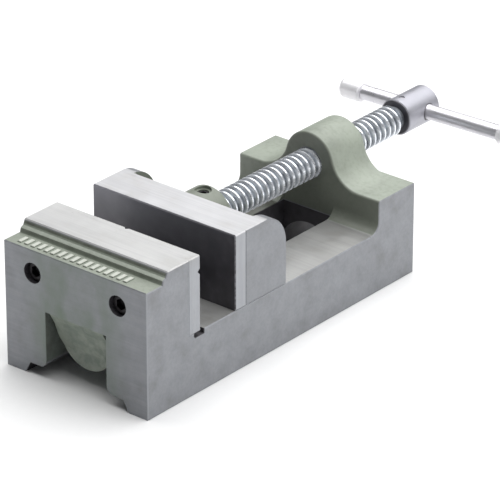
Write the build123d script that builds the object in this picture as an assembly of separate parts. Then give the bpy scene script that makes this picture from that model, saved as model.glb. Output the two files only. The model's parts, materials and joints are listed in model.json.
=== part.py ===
"""Drill-press vise: body casting, sliding jaw, lead screw and sliding handle bar.

Millimetres.  +Z up, +X to the right, +Y from the fixed jaw towards the handle.
Lengths along Y are measured from the body's front face and shifted to the
middle of the body at export.  Feet at Z = 0, centre plane at X = 0.
"""
import math
import os

from build123d import *

# ---------------------------------------------------------------- body casting
jaw_width = 88.9            # width of the body and of both jaws
body_length = 201.0         # front face to rear face
jaw_top = 71.8              # height of both jaw tops
rail_top = 32.3             # height of the ground rail tops
rail_thickness = 12.0       # depth of the rail flanges that the keeper runs under
slot_width = 31.6           # gap between the two rails
side_wall = 12.0            # thickness of the side walls below the rails
ledge_top = 65.9            # height of the cast ledge in front of the fixed jaw
ledge_depth = 11.0          # front face to the first step of the ledge
step_depth = 14.4           # front face to the ground top of the fixed jaw
fixed_face = 37.8           # front face to the fixed jaw's gripping face
edge_break = 0.6            # chamfer on the gripping edges
side_break = 0.4            # chamfer around the flush sides

front_clear = 6.0           # height of the front wall's bottom edge above the feet
arch_width = 38.0           # opening between the front legs
arch_top = 36.0             # height of that opening
arch_depth = 22.0           # how far its upper part runs in
leg_round = 4.0             # lower inner corners of the front legs
lump_radius = 16.5          # rounded cast boss hanging in the front opening
lump_bottom = 8.6           # height of its lowest point
lump_recess = 8.0           # how far its lower part stands behind the front face

block_face = 172.7          # front face to the nut block
shoulder_top = 49.0         # height of the nut block's flat shoulders
shoulder_inner = 31.0       # half width where the shoulders turn up to the boss
nut_boss_radius = 15.0      # round top of the nut block
nut_boss_top = 73.2         # height of that round top
nut_boss_inset = 2.0        # boss end to the rear face of the block
cast_round = 1.2            # rounded cast edges of the nut block
rail_fillet = 6.0           # fillet between the rail tops and the nut block
rear_arch_width = 36.0      # opening under the nut block
rear_arch_top = 24.0        # height of that opening

rib_count = 17              # plain raised ribs cast on the ledge
rib_pitch = 4.1
rib_shift = -4.1            # the row sits left of the middle
rib_width = 2.2
rib_height = 0.7
rib_length = 5.6

# ---------------------------------------------------------------- jaw plates
plate_thickness = 7.9       # fixed jaw plate
moving_plate_thickness = 8.0
relief_height = 2.4         # relief slot under the fixed plate
relief_run = 4.4            # how far the slot runs in under the plate
relief_out = 2.8            # how far it runs out past the gripping face
vee_height = 63.3           # height of the horizontal V groove
vee_depth = 1.9
vee_upright_depth = 1.9     # vertical V groove in the middle

# ---------------------------------------------------------------- moving jaw
jaw_opening = 25.2          # gap between the jaw faces at rest
jaw_wall = 13.6             # cast wall behind the moving plate
wing_width = 7.0            # thickness of each end wing
wing_end = 38.0             # gripping face to the back of the wings
wing_round = 17.0           # radius of the wings' upper rear corner
foot_height = 9.5           # foot between the wings, above the rails
pocket_round = 2.5          # cast corners of the pocket behind the jaw
boss_radius = 14.8          # round screw boss on the back of the jaw
boss_end = 35.0             # gripping face to the back of that boss
tongue_front = 9.0          # gripping face to the front of the guide tongue
tongue_length = 26.0
slide_gap = 0.05            # jaw underside above the rail tops
side_gap = 0.15             # tongue to each side of the slot
keeper_gap = 0.15           # keeper below the rail flanges

# ---------------------------------------------------------------- keeper
keeper_width = 56.0
keeper_length = 30.0
keeper_thickness = 8.0
keeper_sink = 4.0           # counterbore depth for washer and head
keeper_screw_spacing = 14.0
washer_thickness = 1.2
washer_gap = 1.4            # split in the spring washer

# ---------------------------------------------------------------- fasteners
screw_radius = 3.0          # socket-head screws and set screw
clearance_radius = 3.3
head_radius = 4.9
head_height = 6.0
sink_radius = 5.3           # counterbores for the heads
socket_flats = 5.0          # hexagon socket across flats
socket_depth = 3.0
jaw_screw_spacing = 53.0
fixed_screw_height = 54.0
fixed_sink_depth = 8.6
fixed_head_top = 2.2        # head top below the front face
moving_screw_height = 56.0
plate_thread_depth = 5.0    # how far the screws reach into the plates

# ---------------------------------------------------------------- lead screw
screw_height = 57.0         # axis above the feet
thread_major = 7.94         # crest radius
thread_minor = 6.2          # root radius
thread_pitch = 4.0
thread_crest = 1.1          # flat on each crest
thread_clearance = 0.06     # crest to the nut bore
nose_radius = 6.32
nose_clearance = 0.08
nose_length = 18.2
nose_gap = 0.8              # boss back face to the thread's first crest
groove_radius = 4.6
groove_width = 4.8
retainer_back = 5.7         # boss back face to the retaining set screw
tip_radius = 2.0
tip_gap = 0.35
spot_radius = 4.2           # spot face around the set screw
spot_height = 70.2
thrust_thickness = 2.0
thrust_radius = 6.2

# ---------------------------------------------------------------- handle
hub_front = 242.0           # front face of the body to the hub
hub_length = 25.4
hub_radius = 9.5
hub_chamfer = 0.9
hub_seat_radius = 6.0       # plain end of the screw inside the hub
hub_seat_depth = 11.0
hub_pin_radius = 1.6
hub_pin_back = 5.5          # hub front face to the pin
bar_back = 16.5             # hub front face to the bar's axis
bar_radius = 3.97
bar_clearance = 0.08
bar_length = 87.3           # between the knobs
bar_shift = 10.65           # how far the bar is slid towards +X
bar_tilt = 1.5              # degrees, +X end raised
knob_radius = 5.6
knob_length = 13.0
knob_socket = 9.0           # depth the bar enters each knob

# ---------------------------------------------------------------- derived
half = jaw_width / 2
casting_face = fixed_face - plate_thickness
moving_face = fixed_face + jaw_opening
wall_front = moving_face + moving_plate_thickness
wall_back = wall_front + jaw_wall
jaw_floor = rail_top + slide_gap
boss_back = moving_face + boss_end
wing_back = moving_face + wing_end
flange_under = rail_top - rail_thickness
keeper_top = flange_under - keeper_gap
keeper_mid = moving_face + tongue_front + tongue_length / 2
nose_bore = nose_radius + nose_clearance
nose_front = boss_back + nose_gap - nose_length
retainer_y = boss_back - retainer_back
nut_bore = thread_major + thread_clearance
bar_y = hub_front + bar_back
nut_centre = nut_boss_top - nut_boss_radius


def box(x0, x1, y0, y1, z0, z1):
    """Box between two corners."""
    size = Box(x1 - x0, y1 - y0, z1 - z0)
    return Pos((x0 + x1) / 2, (y0 + y1) / 2, (z0 + z1) / 2) * size


def rod_y(radius, y0, y1, x=0.0, z=0.0):
    """Cylinder along Y."""
    return Pos(x, (y0 + y1) / 2, z) * Rot(90, 0, 0) * Cylinder(radius, y1 - y0)


def rod_z(radius, z0, z1, x=0.0, y=0.0):
    """Cylinder along Z."""
    return Pos(x, y, (z0 + z1) / 2) * Cylinder(radius, z1 - z0)


def slab_x(points, x0, x1):
    """Outline of (y, z) points extruded along X."""
    face = make_face(Polyline(*[(x0, y, z) for y, z in points], close=True))
    return extrude(face, amount=x1 - x0, dir=(1, 0, 0))


def slab_y(points, y0, y1):
    """Outline of (x, z) points extruded along Y."""
    face = make_face(Polyline(*[(x, y0, z) for x, z in points], close=True))
    return extrude(face, amount=y1 - y0, dir=(0, 1, 0))


def turned_y(points, z=screw_height):
    """Outline of (radius, y) points turned about the screw axis."""
    face = make_face(Polyline(*[(r, y, z) for r, y in points], close=True))
    return revolve(face, Axis((0, 0, z), (0, 1, 0)), 360)


def edge_at(solid, y, z):
    """Edges along X at one place in the side outline."""
    return solid.edges().filter_by(Axis.X).filter_by(
        lambda edge: abs(edge.center().Y - y) < 0.01 and abs(edge.center().Z - z) < 0.01)


def break_sides(solid, size):
    """Chamfers the outline of the two flush side faces."""
    outline = []
    for side in (-1, 1):
        flush = solid.faces().filter_by(Axis.X).sort_by(lambda face: side * face.center().X)[-1]
        outline += flush.outer_wire().edges()
    return chamfer(outline, size)


def cap_screw(length, chamfer_size=0.5):
    """Socket-head cap screw along -Z with the underside of its head at Z = 0."""
    head = rod_z(head_radius, 0, head_height)
    head = chamfer(head.edges().filter_by(GeomType.CIRCLE).sort_by(Axis.Z)[-1], chamfer_size)
    shank = rod_z(screw_radius, -length, 0)
    shank = chamfer(shank.edges().filter_by(GeomType.CIRCLE).sort_by(Axis.Z)[0], chamfer_size)
    hexagon = extrude(RegularPolygon(socket_flats / 2, 6, major_radius=False), socket_depth)
    return head + shank - Pos(0, 0, head_height - socket_depth) * hexagon


def body():
    """Fixed jaw, rails and nut block in one casting."""
    outline = [
        (0, 0), (0, ledge_top), (ledge_depth, ledge_top),
        (ledge_depth + 0.6, ledge_top + 2.1), (step_depth - 1.0, ledge_top + 3.0),
        (step_depth, jaw_top - edge_break), (step_depth + edge_break, jaw_top),
        (casting_face, jaw_top), (casting_face, rail_top),
        (block_face, rail_top), (block_face, shoulder_top),
        (body_length, shoulder_top), (body_length, 0),
    ]
    solid = slab_x(outline, -half, half)

    # hollow underside between the side walls, from the front wall to the block
    inner = half - side_wall
    solid -= box(-inner, inner, casting_face, block_face, -1, flange_under)
    # slot between the rails
    solid -= box(-slot_width / 2, slot_width / 2, fixed_face + relief_out, block_face, -1, rail_top + 1)
    # front opening, then the cast boss that hangs in it
    solid -= box(-arch_width / 2, arch_width / 2, -1, arch_depth, -1, arch_top)
    solid -= box(-arch_width / 2, arch_width / 2, -1, casting_face + 1, -1, flange_under)
    solid -= slab_y([
        (-inner, -1), (-inner, 0), (-inner + 3.2, front_clear),
        (inner - 3.2, front_clear), (inner, 0), (inner, -1),
    ], -1, casting_face + 1)
    corners = solid.edges().filter_by(Axis.Y).filter_by(
        lambda edge: abs(abs(edge.center().X) - arch_width / 2) < 0.01
        and abs(edge.center().Z - front_clear) < 0.01)
    solid = fillet(corners, leg_round)
    lump_mid = lump_bottom + lump_radius
    lump = rod_y(lump_radius, 0, casting_face, z=lump_mid)
    lump += box(-lump_radius, lump_radius, 0, casting_face, lump_mid, arch_top + 1)
    lump -= slab_x([
        (-1, -1), (lump_recess, -1), (lump_recess, lump_mid - 8),
        (lump_recess * 0.45, arch_top - 6), (0, arch_top + 0.5), (-1, arch_top + 0.5),
    ], -half, half)
    solid += lump

    # relief slot below the fixed jaw plate
    slot_end = relief_height / 2
    solid -= box(-half - 1, half + 1, fixed_face - relief_run + slot_end, fixed_face + relief_out,
                 rail_top - relief_height, rail_top + 0.01)
    solid -= Pos(0, fixed_face - relief_run + slot_end, rail_top - slot_end) * Rot(0, 90, 0) * \
        Cylinder(slot_end, jaw_width + 2)

    # screw boss on the nut block with concave flanks
    boss_y1 = body_length - nut_boss_inset
    flank = nut_centre - shoulder_top
    r_num = shoulder_inner ** 2 + flank ** 2 - nut_boss_radius ** 2
    flank_radius = r_num / (2 * (nut_boss_radius + flank))
    cx = shoulder_inner
    cz = shoulder_top + flank_radius
    reach = math.hypot(cx, cz - nut_centre)
    tx = nut_boss_radius * cx / reach
    tz = nut_centre + nut_boss_radius * (cz - nut_centre) / reach
    turn = math.atan2(tz - cz, tx - cx)
    middle = (turn - math.pi / 2) / 2
    if turn > 0:
        middle = (turn + 3 * math.pi / 2) / 2
    mx = cx + flank_radius * math.cos(middle)
    mz = cz + flank_radius * math.sin(middle)
    y0 = block_face
    edges = [
        ThreePointArc((-tx, y0, tz), (0, y0, nut_boss_top), (tx, y0, tz)),
        ThreePointArc((tx, y0, tz), (mx, y0, mz), (cx, y0, shoulder_top)),
        Line((cx, y0, shoulder_top), (cx, y0, shoulder_top - 5)),
        Line((cx, y0, shoulder_top - 5), (-cx, y0, shoulder_top - 5)),
        Line((-cx, y0, shoulder_top - 5), (-cx, y0, shoulder_top)),
        ThreePointArc((-cx, y0, shoulder_top), (-mx, y0, mz), (-tx, y0, tz)),
    ]
    boss = extrude(make_face(edges), amount=boss_y1 - y0, dir=(0, 1, 0))
    rear_arcs = boss.edges().filter_by(GeomType.CIRCLE).group_by(Axis.Y)[-1]
    boss = fillet(rear_arcs, cast_round)
    solid += boss
    # rounded front edge that runs over the shoulders and the boss
    crown = solid.edges().filter_by(lambda edge: abs(edge.center().Y - block_face) < 0.01
                                    and edge.center().Z > shoulder_top - 0.01
                                    and (edge.geom_type == GeomType.CIRCLE
                                         or abs(edge.center().Z - shoulder_top) < 0.01))
    solid = fillet(crown, cast_round)

    # fillet between rail tops and block, outside the slot
    cove = box(-half, half, block_face - rail_fillet, block_face, rail_top, rail_top + rail_fillet)
    cove -= Pos(0, block_face - rail_fillet, rail_top + rail_fillet) * Rot(0, 90, 0) * \
        Cylinder(rail_fillet, jaw_width + 2)
    cove -= box(-slot_width / 2, slot_width / 2, 0, body_length, 0, jaw_top)
    solid += cove

    # opening under the nut block
    arch_r = rear_arch_width / 2
    under = box(-arch_r, arch_r, block_face - 1, body_length + 1, -1, rear_arch_top - arch_r)
    under += rod_y(arch_r, block_face - 1, body_length + 1, z=rear_arch_top - arch_r)
    solid -= under

    # bore for the screw, counterbored holes for the plate screws
    solid -= rod_y(nut_bore, block_face - 1, body_length + 1, z=screw_height)
    for side in (-1, 1):
        x = side * jaw_screw_spacing / 2
        solid -= rod_y(clearance_radius, -1, casting_face + 1, x, fixed_screw_height)
        solid -= rod_y(sink_radius, -1, fixed_sink_depth, x, fixed_screw_height)

    # plain ribs cast on the ledge
    for index in range(rib_count):
        x = (index - (rib_count - 1) / 2) * rib_pitch + rib_shift
        mid = ledge_depth / 2
        rib = box(x - rib_width / 2, x + rib_width / 2, mid - rib_length / 2, mid + rib_length / 2,
                  ledge_top - 0.2, ledge_top + rib_height)
        solid += chamfer(rib.edges().group_by(Axis.Z)[-1], 0.25)

    solid = break_sides(solid, side_break)
    return chamfer(edge_at(solid, 0, ledge_top) + edge_at(solid, body_length, shoulder_top), side_break)


def fixed_plate():
    """Ground steel plate with one level and one upright V groove."""
    solid = box(-half, half, casting_face, fixed_face, rail_top, jaw_top)
    solid = chamfer(solid.edges().filter_by(Axis.X).group_by(Axis.Z)[-1].sort_by(Axis.Y)[-1], edge_break)
    solid = break_sides(solid, side_break)
    solid -= slab_x([
        (fixed_face + 0.1, vee_height - vee_depth - 0.1), (fixed_face - vee_depth, vee_height),
        (fixed_face + 0.1, vee_height + vee_depth + 0.1),
    ], -half - 1, half + 1)
    d = vee_upright_depth
    groove = make_face(Polyline((-d - 0.1, fixed_face + 0.1, rail_top - 1), (0, fixed_face - d, rail_top - 1),
                                (d + 0.1, fixed_face + 0.1, rail_top - 1), close=True))
    solid -= extrude(groove, amount=jaw_top - rail_top + 2, dir=(0, 0, 1))
    for side in (-1, 1):
        x = side * jaw_screw_spacing / 2
        solid -= rod_y(screw_radius, casting_face - 1, casting_face + plate_thread_depth,
                       x, fixed_screw_height)
    return solid


def moving_plate():
    """Plain black plate on the moving jaw."""
    solid = box(-half, half, moving_face, wall_front, jaw_floor, jaw_top)
    solid = chamfer(solid.edges().filter_by(Axis.X).group_by(Axis.Z)[-1].sort_by(Axis.Y)[0], edge_break)
    solid = break_sides(solid, side_break)
    for side in (-1, 1):
        x = side * jaw_screw_spacing / 2
        solid -= rod_y(screw_radius, wall_front - plate_thread_depth, wall_front + 1,
                       x, moving_screw_height)
    return solid


def moving_jaw():
    """Casting with end wings, screw boss, foot and guide tongue."""
    inset = half - wing_width / 2
    solid = box(-inset, inset, wall_front, wall_back, jaw_floor, jaw_top)
    # end wings with a round upper corner
    y_round = wing_back - wing_round
    z_round = jaw_top - wing_round
    corner = 0.70710678
    for side in (-1, 1):
        x0 = side * half
        profile = make_face([
            Line((x0, wall_front, jaw_floor), (x0, wall_front, jaw_top)),
            Line((x0, wall_front, jaw_top), (x0, y_round, jaw_top)),
            ThreePointArc((x0, y_round, jaw_top),
                          (x0, y_round + wing_round * corner, z_round + wing_round * corner),
                          (x0, wing_back, z_round)),
            Line((x0, wing_back, z_round), (x0, wing_back, jaw_floor)),
            Line((x0, wing_back, jaw_floor), (x0, wall_front, jaw_floor)),
        ])
        wing = extrude(profile, amount=wing_width, dir=(-side, 0, 0))
        flush = wing.faces().filter_by(Axis.X).sort_by(lambda face: side * face.center().X)[-1]
        solid += chamfer(flush.edges(), side_break)
    solid += box(-half + 1, half - 1, wall_front + 1, wing_back, jaw_floor, jaw_floor + foot_height)
    corners = solid.edges().filter_by(Axis.Z).filter_by(
        lambda edge: abs(abs(edge.center().X) - half + wing_width) < 0.01
        and abs(edge.center().Y - wall_back) < 0.01)
    corners += edge_at(solid, wall_back, jaw_floor + foot_height)
    solid = fillet(corners, pocket_round)
    # screw boss carried on a web
    boss = rod_y(boss_radius, wall_back - 1, boss_back, z=screw_height)
    boss = chamfer(boss.edges().filter_by(GeomType.CIRCLE).sort_by(Axis.Y)[-1], 0.8)
    solid += boss
    solid += box(-boss_radius, boss_radius, wall_back - 1, boss_back - 0.8, jaw_floor, screw_height)
    # guide tongue between the rails
    reach = slot_width / 2 - side_gap
    tongue_y = moving_face + tongue_front
    solid += box(-reach, reach, tongue_y, tongue_y + tongue_length, keeper_top, jaw_floor + 1)

    # bore for the screw's nose, hole and spot face for the set screw
    solid -= rod_y(nose_bore, nose_front - thrust_thickness, boss_back + 1, z=screw_height)
    solid -= rod_z(screw_radius, screw_height, jaw_top + 5, y=retainer_y)
    solid -= rod_z(spot_radius, spot_height, jaw_top + 5, y=retainer_y)
    # plate screws from behind, keeper screws from below
    sink = head_height + 0.5
    for side in (-1, 1):
        x = side * jaw_screw_spacing / 2
        solid -= rod_y(clearance_radius, wall_front - 1, wall_back, x, moving_screw_height)
        solid -= rod_y(sink_radius, wall_back - sink, wall_back + 1, x, moving_screw_height)
        y = keeper_mid + side * keeper_screw_spacing / 2
        solid -= rod_z(screw_radius, keeper_top - 1, keeper_top + 14, y=y)
    return solid


def keeper():
    """Flat bar under the rail flanges."""
    y0 = keeper_mid - keeper_length / 2
    bottom = keeper_top - keeper_thickness
    solid = box(-keeper_width / 2, keeper_width / 2, y0, y0 + keeper_length, bottom, keeper_top)
    solid = chamfer(solid.edges().filter_by(Axis.Z), 1.5)
    for side in (-1, 1):
        y = keeper_mid + side * keeper_screw_spacing / 2
        solid -= rod_z(clearance_radius, bottom - 1, keeper_top + 1, y=y)
        solid -= rod_z(sink_radius, bottom - 1, bottom + keeper_sink, y=y)
    return solid


def washer():
    """Split spring washer standing on Z = 0."""
    ring = rod_z(head_radius, 0, washer_thickness) - rod_z(screw_radius + 0.15, -1, washer_thickness + 1)
    return ring - Rot(0, 0, 20) * box(0, head_radius + 1, -washer_gap / 2, washer_gap / 2, -1, 3)


def lead_screw():
    """Turned nose, thread drawn as rings at the true pitch, plain end for the hub."""
    start = boss_back + nose_gap
    end = hub_front - 2.5
    groove0 = retainer_y - groove_width / 2
    groove1 = retainer_y + groove_width / 2
    points = [
        (0, nose_front), (nose_radius - 0.8, nose_front), (nose_radius, nose_front + 0.8),
        (nose_radius, groove0), (groove_radius, groove0), (groove_radius, groove1),
        (nose_radius, groove1), (nose_radius, start), (thread_minor + 0.2, start),
    ]
    flank = (thread_pitch - thread_crest) * 0.36
    turns = int((end - start) / thread_pitch)
    for turn in range(turns):
        y = start + 0.4 + turn * thread_pitch
        points += [(thread_minor, y), (thread_major, y + flank), (thread_major, y + flank + thread_crest),
                   (thread_minor, y + 2 * flank + thread_crest)]
    seat_end = hub_front + hub_seat_depth
    points += [(thread_minor, end), (hub_seat_radius, end), (hub_seat_radius, seat_end), (0, seat_end)]
    solid = turned_y(points)
    pin_y = hub_front + hub_pin_back
    return solid - rod_z(hub_pin_radius, 0, 2 * screw_height, y=pin_y)


def hub():
    """Round cross head with the sliding hole for the bar."""
    back = hub_front + hub_length
    solid = rod_y(hub_radius, hub_front, back, z=screw_height)
    solid = chamfer(solid.edges().filter_by(GeomType.CIRCLE), hub_chamfer)
    solid -= rod_y(hub_seat_radius, hub_front - 1, hub_front + hub_seat_depth, z=screw_height)
    solid -= rod_z(hub_pin_radius, 0, 2 * screw_height, y=hub_front + hub_pin_back)
    hole = Cylinder(bar_radius + bar_clearance, 4 * hub_radius)
    return solid - on_bar(hole, 0)


def hub_pin():
    """Pin through hub and screw, a little below the hub's surface."""
    reach = hub_radius - 0.6
    pin = rod_z(hub_pin_radius, screw_height - reach, screw_height + reach, y=hub_front + hub_pin_back)
    return chamfer(pin.edges().filter_by(GeomType.CIRCLE), 0.3)


def on_bar(shape, along):
    """Places a shape built along Z on the bar's axis, at a distance from the hub's axis."""
    return Pos(0, bar_y, screw_height) * Rot(0, 90 - bar_tilt, 0) * Pos(0, 0, along) * shape


def bar():
    """Plain rod between and into the two knobs."""
    rod = Cylinder(bar_radius, bar_length + 2 * knob_socket)
    rod = chamfer(rod.edges().filter_by(GeomType.CIRCLE), 0.5)
    return on_bar(rod, bar_shift)


def knob(side):
    """Turned end knob with rounded ends and a blind bore."""
    ball = Cylinder(knob_radius, knob_length)
    rims = ball.edges().filter_by(GeomType.CIRCLE).sort_by(Axis.Z)
    ball = fillet(rims[-1], 2.4)
    rims = ball.edges().filter_by(GeomType.CIRCLE).sort_by(Axis.Z)
    ball = chamfer(rims[0], 0.8)
    depth = Pos(0, 0, -knob_length / 2 + (knob_socket - 1) / 2) * Cylinder(bar_radius, knob_socket + 1)
    ball -= depth
    if side < 0:
        ball = Rot(180, 0, 0) * ball
    return on_bar(ball, bar_shift + side * (bar_length + knob_length) / 2)


def set_screw():
    """Dog-point set screw standing on its tip."""
    tip = screw_height + groove_radius + tip_gap
    shoulder = screw_height + nose_bore + 0.5
    solid = rod_z(screw_radius, shoulder, spot_height - 0.4, y=retainer_y)
    solid = chamfer(solid.edges().filter_by(GeomType.CIRCLE).sort_by(Axis.Z)[-1], 0.4)
    solid += rod_z(tip_radius, tip, shoulder, y=retainer_y)
    hexagon = extrude(RegularPolygon(1.5, 6, major_radius=False), 3)
    return solid - Pos(0, retainer_y, spot_height - 3.0) * hexagon


def plate_screw(side, moving):
    """Socket-head screw through a jaw into its plate."""
    x = side * jaw_screw_spacing / 2
    if moving:
        seat = wall_back - head_height - 0.5
        reach = seat - wall_front + plate_thread_depth - 0.3
        return Pos(x, seat, moving_screw_height) * Rot(-90, 0, 0) * cap_screw(reach)
    seat = fixed_head_top + head_height
    reach = casting_face + plate_thread_depth - 0.3 - seat
    return Pos(x, seat, fixed_screw_height) * Rot(90, 0, 0) * cap_screw(reach)


def keeper_screw(side):
    """Socket-head screw from below through washer and keeper into the tongue."""
    y = keeper_mid + side * keeper_screw_spacing / 2
    seat = keeper_top - keeper_thickness + keeper_sink - washer_thickness
    reach = keeper_top + 13 - seat
    return Pos(0, y, seat) * Rot(180, 0, 0) * cap_screw(reach)


def keeper_washer(side):
    """Spring washer under a keeper screw's head."""
    y = keeper_mid + side * keeper_screw_spacing / 2
    return Pos(0, y, keeper_top - keeper_thickness + keeper_sink - washer_thickness) * washer()


disc = rod_y(thrust_radius, nose_front - thrust_thickness, nose_front, z=screw_height)

nodes = {
    "body": body(),
    "fixed_jaw_plate": fixed_plate(),
    "fixed_jaw_screw_left": plate_screw(-1, False),
    "fixed_jaw_screw_right": plate_screw(1, False),
    "moving_jaw": moving_jaw(),
    "moving_jaw_plate": moving_plate(),
    "moving_jaw_screw_left": plate_screw(-1, True),
    "moving_jaw_screw_right": plate_screw(1, True),
    "keeper_plate": keeper(),
    "keeper_screw_front": keeper_screw(-1),
    "keeper_screw_rear": keeper_screw(1),
    "keeper_washer_front": keeper_washer(-1),
    "keeper_washer_rear": keeper_washer(1),
    "lead_screw": lead_screw(),
    "thrust_disc": disc,
    "retaining_set_screw": set_screw(),
    "handle_hub": hub(),
    "hub_pin": hub_pin(),
    "handle_bar": bar(),
    "handle_knob_left": knob(-1),
    "handle_knob_right": knob(1),
}

os.makedirs("parts", exist_ok=True)
for name, shape in nodes.items():
    placed = Pos(0, -body_length / 2, 0) * shape
    export_step(placed, os.path.join("parts", name + ".step"))
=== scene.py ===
"""Drill-press vise: finishes, detailed pieces and studio for its assembled parts."""
import json
import math
from types import SimpleNamespace

import bpy
from mathutils import Matrix, Vector


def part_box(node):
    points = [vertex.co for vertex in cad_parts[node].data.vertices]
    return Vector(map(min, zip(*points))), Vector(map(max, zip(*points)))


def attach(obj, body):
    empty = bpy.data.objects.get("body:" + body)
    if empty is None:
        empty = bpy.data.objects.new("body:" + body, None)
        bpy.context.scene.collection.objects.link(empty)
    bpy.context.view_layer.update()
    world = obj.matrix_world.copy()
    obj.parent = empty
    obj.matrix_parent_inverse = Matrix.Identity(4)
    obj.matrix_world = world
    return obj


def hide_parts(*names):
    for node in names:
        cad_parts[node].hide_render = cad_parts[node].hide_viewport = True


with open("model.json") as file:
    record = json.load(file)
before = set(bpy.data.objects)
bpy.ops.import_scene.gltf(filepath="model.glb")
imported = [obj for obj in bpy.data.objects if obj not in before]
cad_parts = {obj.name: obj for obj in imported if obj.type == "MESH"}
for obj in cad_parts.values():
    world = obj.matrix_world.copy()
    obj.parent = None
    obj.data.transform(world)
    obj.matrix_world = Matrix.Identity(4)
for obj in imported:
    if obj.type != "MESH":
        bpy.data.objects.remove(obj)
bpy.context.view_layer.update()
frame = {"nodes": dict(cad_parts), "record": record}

bl_info = {
    "name": "Drill-press Vise",
    "version": (1, 0, 0),
    "blender": (4, 5, 0),
    "location": "3D View > Sidebar > Vise",
    "description": "Finishes, turned pieces and studio for a drill-press vise",
    "category": "Object",
}

MM = 0.001
BODY_LOW, BODY_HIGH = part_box("body")
FRONT = BODY_LOW.y
HALF_WIDTH = BODY_HIGH.x
JAW_LOW, JAW_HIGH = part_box("moving_jaw")
MOVING_LOW, MOVING_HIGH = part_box("moving_jaw_plate")
FIXED_PLATE_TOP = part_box("fixed_jaw_plate")[1].z
SCREW_LOW, SCREW_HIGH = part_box("lead_screw")
AXIS_HEIGHT = (SCREW_LOW.z + SCREW_HIGH.z) / 2
HUB_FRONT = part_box("handle_hub")[0].y
BAR_LOW, BAR_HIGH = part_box("handle_bar")
BAR_MIDDLE = (BAR_LOW.y + BAR_HIGH.y) / 2
BAR_RADIUS = (BAR_HIGH.y - BAR_LOW.y) / 2

# Widths over which one finish blends into the next, in metres.
SHARP = 0.0001
CRISP = 0.0002
SOFT = 0.0003

# Zones of the body, in millimetres. Depths run back from the front face, heights up from
# the feet and widths out from the centre plane. The skins run inwards from their faces.
SIDE_SKIN = 0.45
FRONT_SKIN = 0.35
RELIEF_SKIN = 0.1
STAIN_HALF = 27.0
RUN_HALF = 15.0
RUN_TOP = 47.0
LEDGE_DEPTH = (SIDE_SKIN, 14.25)
LEDGE_HEIGHT = (65.6, 71.15)
LEDGE_FLAT = 66.1
LEDGE_FOOT = (66.4, 68.1)
LEDGE_HEAD = (69.6, 71.2)
RIB_TOPS = (66.3, 66.9)
RIB_BACK = 10.0
JAW_TOP_EDGE = 71.2
RAIL_TOPS = (32.0, 32.6)
RAIL_DEPTH = (38.0, 168.0)
# Where the painted shadow on the far rail begins: its depth and its side.
RAIL_SHADOW_START = 112.0
RAIL_SHADOW_SIDE = -12.0
BLOCK_DEPTH = (166.9, 200.85)
BLOCK_LOW = 32.45
BLOCK_FRONT_EDGE = 173.4
# Where the painted shade on the nut block's front fades in, from left to right.
BLOCK_SHADE_SIDE = (-40.0, -14.0)
NUT_HOLE_RADIUS = 8.3
ARCH_HALF = 19.05
ARCH_WALL = 18.4
ARCH_DEPTH = (0.25, 30.0)
ARCH_TOP = 38.0
HOLLOW_HALF = 32.5
HOLLOW_DEPTH = (30.2, 172.9)
HOLLOW_TOP = 31.9
REAR_ARCH_HALF = 18.3
REAR_ARCH_DEPTH = (172.5, 200.8)
REAR_ARCH_TOP = 26.3
RELIEF_DEPTH = (33.2, 40.7)
RELIEF_HEIGHT = (29.6, 32.2)
SINK_PLACES = (-26.5, 26.5)
SINK_HEIGHT = 54.0
SINK_RADIUS = 5.6
SINK_DEPTH = (0.2, 30.0)
UNDER_DEPTH = (0.4, 200.6)
UNDER_TOP = 6.2
# Depths of the painted edge highlights near the front and the back.
HIGHLIGHT_DEPTHS = (SIDE_SKIN, 200.55)

# Zones of the moving jaw, in millimetres inwards from its side, front, underside and top.
WING_INSIDE = 6.95
WALL_DEPTH = 13.75
FOOT_HEIGHT = 12.2
LID_SKIN = 0.3

# Zones of the jaw plates, in millimetres: skins inwards from their tops, faces and edges,
# and the height where the painted reflection on the black plate starts.
PLATE_TOP_SKIN = 0.7
BLACK_FILM_DEPTH = 0.62
BLACK_SIDE_EDGE = 0.35
BLACK_TOP_EDGE = 0.15
BLACK_FADE_START = 50.0

# Zones of the screw and the hub, in millimetres: the thread's crest as a radius, and the
# widths of painted shadow behind the hub's front and round its cross hole.
CREST_START = 7.25
HUB_FACE_SKIN = 0.45
HUB_HOLE_RIM = 0.55

# Lead screw, in millimetres: places along it from the body's front face, lengths and radii.
THREAD_START = 98.8
THREAD_END = 239.5
THREAD_RUNOUT = 1.6
NOSE_RADIUS = 6.32
GROOVE_RADIUS = 4.6
GROOVE_MIDDLE = 92.3
GROOVE_HALF = 2.4
SEAT_RADIUS = 6.0

# Steps of the round pieces: helix, turned shaft and knurled screw heads.
SCREW_STEPS = 48
SHAFT_STEPS = 64
HEAD_STEPS = 72

# Camera: place in metres, turn in degrees, lens and sensor width in millimetres.
CAMERA_PLACE = (1.1075, -1.3071, 0.8829)
CAMERA_TURN = (63.7, 0.0, 39.7)
CAMERA_LENS = 284.76
CAMERA_SENSOR = 36.0

# Lights: place, aim and size in metres.
TOP_LIGHT = ((0.0, 0.6, 1.6), (0.0, 0.3, 0.0), (3.0, 2.8))
SIDE_LIGHT = ((1.4, 0.3, 0.5), (0.0, 0.0, 0.05), (1.0, 0.8))

# Turns that point a screw's head to the front, to the back and to the floor.
TO_FRONT = Matrix.Rotation(math.radians(90), 3, "X")
TO_BACK = Matrix.Rotation(math.radians(-90), 3, "X")
TO_FLOOR = Matrix.Rotation(math.radians(180), 3, "X")
SCREW_TURNS = {
    "fixed_jaw_screw_left": TO_FRONT,
    "fixed_jaw_screw_right": TO_FRONT,
    "moving_jaw_screw_left": TO_BACK,
    "moving_jaw_screw_right": TO_BACK,
    "keeper_screw_front": TO_FLOOR,
    "keeper_screw_rear": TO_FLOOR,
}


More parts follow.
